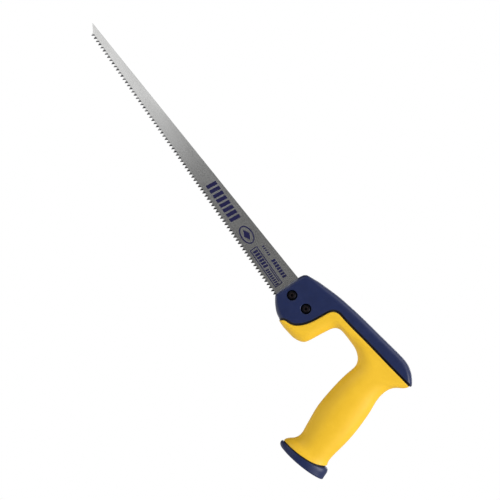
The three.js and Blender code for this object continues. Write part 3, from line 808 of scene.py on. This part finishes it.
def end_cap(material, groove_shade, around=96, fill=4):
    """The flared cap. fill is the number of rings made for each one in CAP_RINGS."""
    knots = np.arange(len(CAP_RINGS), dtype=float)
    count = (len(CAP_RINGS) - 1) * fill + 1
    places = np.linspace(0, 1, count)
    columns = [[ring[i] for ring in CAP_RINGS] for i in range(4)]
    front, back, half, low = (Spline(column, knots)(places) for column in columns)
    angles = np.linspace(0, 2 * np.pi, around, endpoint=False)
    share = (1 - superellipse(np.cos(angles))) / 2
    wide = superellipse(np.sin(angles))
    bottom = Spline(CAP_UNDERSIDE)
    ends = bottom([0, 1])
    low_bow = bottom(share) - (ends[0] + (ends[1] - ends[0]) * share[:, None])
    rings = []
    for i in range(count):
        if i < 2 * fill and i % fill:
            continue  # the neck and the groove's floor keep their corners
        k = min(max(low[i, 0], 0), 1)
        bow = butt_bow(share) * (1 - k) + low_bow * k
        flat = front[i] + (back[i] - front[i]) * share[:, None] + bow
        rings.append(np.column_stack([flat[:, 0], wide * half[i, 0], flat[:, 1]]))
    lowest = rings[-1]
    middle = (lowest.max(axis=0) + lowest.min(axis=0)) / 2
    for size in UNDERSIDE_SIZES:
        ring = middle + (lowest - middle) * size
        ring[:, 2] = lowest[:, 2] + (middle[2] - lowest[:, 2]) * (1 - size) + CAP_HOLLOW * (1 - size)
        rings.append(ring)
    vertices, faces = skin(rings)
    kinds = [int(f[0] < 2 * around and len(f) == 4) for f in faces]  # 1 is black painted shade in the groove
    piece = make("butt_cap", vertices, faces, [material, groove_shade], kinds)
    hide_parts("end_cap")
    return piece


# ---- The blade -----------------------------------------------------------------------------------------


def back_height(x):
    return HEEL_HEIGHT + BACK_SLOPE * x


def slanted(x, z, wide, high):
    """A printed bar: its corners, leaning toward the handle."""
    lean = BAR_LEAN * high
    return [(x, z), (x + wide, z), (x + wide + lean, z + high), (x + lean, z + high)]


def ellipse(middle, long, short, sides):
    angles = np.linspace(0, 2 * np.pi, sides, endpoint=False)
    return [(middle[0] + long * math.cos(a), middle[1] + short * math.sin(a)) for a in angles]


def marks():
    """Plain printed shapes on the blade: rows of bars, a ring with a lozenge, and a frame."""
    shapes = []
    for x, pitch, count, foot, wide, high in BAR_ROWS:
        shapes += [slanted(x + i * pitch, foot, wide, high) for i in range(count)]
    shapes += [ellipse(RING_MIDDLE, *ring) for ring in RINGS]
    shapes += [[(x0, z0), (x1, z0), (x1, z1), (x0, z1)] for x0, z0, x1, z1 in FRAMES]
    return shapes


def inside(point, shape):
    x, z = point
    found = False
    for (x0, z0), (x1, z1) in zip(shape, shape[1:] + shape[:1]):
        if (z0 > z) != (z1 > z) and x < (x1 - x0) * (z - z0) / (z1 - z0) + x0:
            found = not found
    return found


def blade_face(side, shapes):
    """One flat side of the blade above the teeth: vertices, triangles and their materials.

    Where an odd number of the shapes lie over each other, the side is printed.
    """
    outline = [(NOSE_X, back_height(NOSE_X) - BACK_CHAMFER)]
    outline += [(FIRST_TOOTH + i * TOOTH_PITCH, GULLET) for i in range(TEETH + 1)]
    outline += [(BLADE_END, GULLET + END_LIFT), (BLADE_END, back_height(BLADE_END) - BACK_CHAMFER)]
    points = []
    edges = []
    for shape in [outline, *shapes]:
        first = len(points)
        points += [Vector(p) for p in shape]
        edges += [(first + i, first + (i + 1) % len(shape)) for i in range(len(shape))]
    inside_only = 1
    flat, _, triangles, *_ = delaunay_2d_cdt(points, edges, [], inside_only, NEAR)
    vertices = [(p.x, side * BLADE_HALF, p.y) for p in flat]
    kinds = []
    for triangle in triangles:
        middle = sum((flat[i] for i in triangle), Vector((0, 0))) / 3
        odd = sum(inside(middle, shape) for shape in shapes) % 2
        kinds.append(PRINT if odd else SIDE)
    return vertices, [list(t) for t in triangles], kinds


def strip(start, end, start_half, end_half):
    """A face across the blade's thickness, from one place on its rim to another."""
    return [
        (start[0], -start_half, start[1]), (end[0], -end_half, end[1]),
        (end[0], end_half, end[1]), (start[0], start_half, start[1]),
    ]


def blade_edges():
    """The chamfered back, the nose and the blade's end, as faces between the two sides."""
    half = BLADE_HALF
    thin = BLADE_HALF * CREST_SHARE
    end_low = (BLADE_END, GULLET + END_LIFT)
    end_high = (BLADE_END, back_height(BLADE_END) - BACK_CHAMFER)
    end_crest = (BLADE_END, back_height(BLADE_END))
    nose_low = (FIRST_TOOTH, GULLET)
    nose_high = (NOSE_X, back_height(NOSE_X) - BACK_CHAMFER)
    nose_crest = (NOSE_X, back_height(NOSE_X))
    last_gullet = (FIRST_TOOTH + TEETH * TOOTH_PITCH, GULLET)
    quads = [
        strip(end_crest, nose_crest, thin, thin), strip(nose_crest, nose_high, thin, half),
        strip(nose_high, nose_low, half, half), strip(last_gullet, end_low, half, half),
        strip(end_low, end_high, half, half), strip(end_high, end_crest, half, thin),
    ]
    for side in (-1, 1):
        rim = [(x, side * half, z) for x, z in (end_high, nose_high)]
        crest = [(x, side * thin, z) for x, z in (nose_crest, end_crest)]
        quads.append(rim + crest)
    vertices = [corner for quad in quads for corner in quad]
    faces = [[4 * i, 4 * i + 1, 4 * i + 2, 4 * i + 3] for i in range(len(quads))]
    return vertices, faces, [SIDE] * len(faces)


def tooth(i):
    """A tooth set to one side, with its hardened bevel on the handle's side."""
    start = FIRST_TOOTH + i * TOOTH_PITCH
    end = start + TOOTH_PITCH
    middle = (start + end) / 2
    lean = SET if i % 2 else -SET
    low_x = start + BEVEL_END * (middle - start)
    low_z = GULLET + BEVEL_END * (TOOTH_TIP - GULLET)
    vertices = []
    faces = []
    kinds = []
    for side in (-1, 1):
        flank = side * BLADE_HALF
        bevel = BEVELS[0] if lean * side < 0 else BEVELS[1]
        tip_y = lean + side * TIP_HALF
        first = len(vertices)
        vertices += [
            (start, flank, GULLET), (end - bevel, flank, GULLET), (end, flank, GULLET),
            (low_x, flank + (tip_y - flank) * BEVEL_END, low_z), (middle, tip_y, TOOTH_TIP),
        ]
        faces += [[first, first + 1, first + 3], [first + 1, first + 2, first + 4, first + 3]]
        kinds += [SIDE, BEVEL]
    for a, b, kind in ((0, 3, SIDE), (3, 4, BEVEL), (4, 2, BEVEL)):
        faces.append([a, b, b + 5, a + 5])
        kinds.append(kind)
    return vertices, faces, kinds


def blade(steel, ink, bevel):
    vertices = []
    faces = []
    kinds = []
    parts = [blade_face(-1, marks()), blade_face(1, []), blade_edges()]
    for some_vertices, some_faces, some_kinds in parts + [tooth(i) for i in range(TEETH)]:
        first = len(vertices)
        vertices += some_vertices
        faces += [[first + i for i in face] for face in some_faces]
        kinds += some_kinds
    materials = [steel, ink, bevel]
    piece = make("toothed_blade", vertices, faces, materials, kinds, weld=BLADE_WELD, rounded=False)
    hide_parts("blade")
    return piece


# ---- Fasteners -----------------------------------------------------------------------------------------


def screw(name, place, material, wear_and_highlight):
    """A button-head screw with a hexagon socket. Its crown, round the socket, carries a painted highlight.
    """
    socket = len(SOCKET_PROFILE)
    profile = list(SOCKET_PROFILE)
    for turn in np.linspace(0, np.pi / 2, DOME_STEPS):
        radius = DOME_MIDDLE[0] + DOME_REACH[0] * math.sin(turn)
        profile.append((radius, DOME_MIDDLE[1] + DOME_REACH[1] * math.cos(turn)))
    profile += SHANK_PROFILE

    def hexagon(angles, i, radius):
        """Radii of the socket's rings, from its flats to its corners. Its pointed bottom stays round."""
        if i == 0 or i >= socket:
            return np.full(len(angles), float(radius))
        return radius / np.cos(angles % (math.pi / 3) - math.pi / 6)

    rings = turned(place, [(radius, SEAT + height) for radius, height in profile], SCREW_SIDES, hexagon)
    vertices, faces = skin([ring * (1, -1, 1) for ring in rings])
    crown = [socket - 1, socket]
    kinds = [int(f[0] // SCREW_SIDES in crown and len(f) == 4) for f in faces]  # 1 is the crown's painted highlight
    piece = make(f"button_screw_{name}", vertices, faces, [material, wear_and_highlight], kinds)
    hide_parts(f"blade_screw_{name}")
    return piece


def barrel_nut(name, place, material):
    profile = [(radius, SEAT + height) for radius, height in NUT_PROFILE]
    piece = make(f"sleeve_nut_{name}", *skin(turned(place, profile)), [material])
    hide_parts(f"barrel_nut_{name}")
    return piece


# ---- Stage, lights and camera --------------------------------------------------------------------------


def camera():
    data = bpy.data.cameras.new("camera")
    data.lens = LENS
    data.sensor_width = SENSOR
    data.clip_start, data.clip_end = CLIP
    made = bpy.data.objects.new("camera", data)
    bpy.context.scene.collection.objects.link(made)
    right = Vector((math.cos(VIEW_ROLL), 0, math.sin(VIEW_ROLL)))
    up = Vector((-math.sin(VIEW_ROLL), 0, math.cos(VIEW_ROLL)))
    back = Vector((0, -1, 0))
    target = heel + Vector((VIEW_CENTRE[0], 0, VIEW_CENTRE[1])) * MM
    place = Matrix.Translation(target + back * (FIELD * LENS / SENSOR))
    made.matrix_world = place @ Matrix([right, up, back]).transposed().to_4x4()
    bpy.context.scene.camera = made


def area_light(name, place, target, size, power):
    data = bpy.data.lights.new(name, "AREA")
    data.shape = "RECTANGLE"
    data.size, data.size_y = size
    data.energy = power
    made = bpy.data.objects.new(name, data)
    made.visible_camera = False
    made.location = place
    made.rotation_mode = "QUATERNION"
    made.rotation_quaternion = (Vector(target) - Vector(place)).to_track_quat("-Z", "Y")
    bpy.context.scene.collection.objects.link(made)


def background(tree, strength):
    """A white background shader of one brightness, or of what a socket gives."""
    node = tree.nodes.new("ShaderNodeBackground")
    node.inputs["Color"].default_value = (1, 1, 1, 1)
    if isinstance(strength, float):
        node.inputs["Strength"].default_value = strength
    else:
        tree.links.new(strength, node.inputs["Strength"])
    return node.outputs[0]


def world():
    """White behind the saw, and a dimmer room round it for it to reflect."""
    made = bpy.data.worlds.new("studio")
    made.use_nodes = True
    tree = made.node_tree
    tree.nodes.clear()
    direction = tree.nodes.new("ShaderNodeTexCoord")
    total = tree.nodes.new("ShaderNodeMath")
    total.operation = "ADD"
    for i, (axis, *numbers) in enumerate(ROOM):
        along = tree.nodes.new("ShaderNodeVectorMath")
        along.operation = "DOT_PRODUCT"
        along.inputs[1].default_value = axis
        tree.links.new(direction.outputs["Generated"], along.inputs[0])
        growth = tree.nodes.new("ShaderNodeMapRange")
        growth.interpolation_type = "SMOOTHSTEP"
        set_range(growth, numbers)
        tree.links.new(along.outputs["Value"], growth.inputs["Value"])
        tree.links.new(growth.outputs["Result"], total.inputs[i])
    rays = tree.nodes.new("ShaderNodeLightPath")
    mix = tree.nodes.new("ShaderNodeMixShader")
    tree.links.new(rays.outputs["Is Camera Ray"], mix.inputs["Fac"])
    tree.links.new(background(tree, total.outputs[0]), mix.inputs[1])
    tree.links.new(background(tree, BACKDROP), mix.inputs[2])
    output = tree.nodes.new("ShaderNodeOutputWorld")
    tree.links.new(mix.outputs[0], output.inputs["Surface"])
    bpy.context.scene.world = made


def floor():
    low = cad_box[0].z - FLOOR_DROP
    angles = np.linspace(0, 2 * np.pi, FLOOR_SIDES, endpoint=False)
    ring = [(FLOOR_RADIUS * math.cos(a), FLOOR_RADIUS * math.sin(a), low) for a in angles]
    data = bpy.data.meshes.new("floor")
    data.from_pydata(ring, [], [list(range(FLOOR_SIDES))])
    made = bpy.data.objects.new("floor", data)
    bpy.context.scene.collection.objects.link(made)
    paper = Shader("pale_floor", PALE_FLOOR, roughness=0.9)
    paper.shader.inputs["Emission Color"].default_value = (1, 1, 1, 1)
    paper.shader.inputs["Emission Strength"].default_value = FLOOR_GLOW
    data.materials.append(paper.material)


# ---- The scene -----------------------------------------------------------------------------------------

camera()
world()
floor()
for light_name, light in LIGHTS.items():
    area_light(light_name, *light)
bpy.context.scene.view_settings.view_transform = "Standard"

navy = hard_plastic()
yellow = soft_rubber()
oxide = black_oxide()
# A painted highlight for the screws' crowns.
crown_highlight = painted_crown_highlight()
# Black painted shade for the groove between the hard and the soft parts.
groove_shade_black = painted_groove_shade()
shell_half(-1, navy, groove_shade_black)
shell_half(1, navy, groove_shade_black)
soft_grip(yellow)
end_cap(navy, groove_shade_black)
blade(blade_steel(), blade_ink(), bevel_steel())
for screw_name, screw_place in SCREWS.items():
    screw(screw_name, screw_place, oxide, crown_highlight)
    barrel_nut(screw_name, screw_place, oxide)
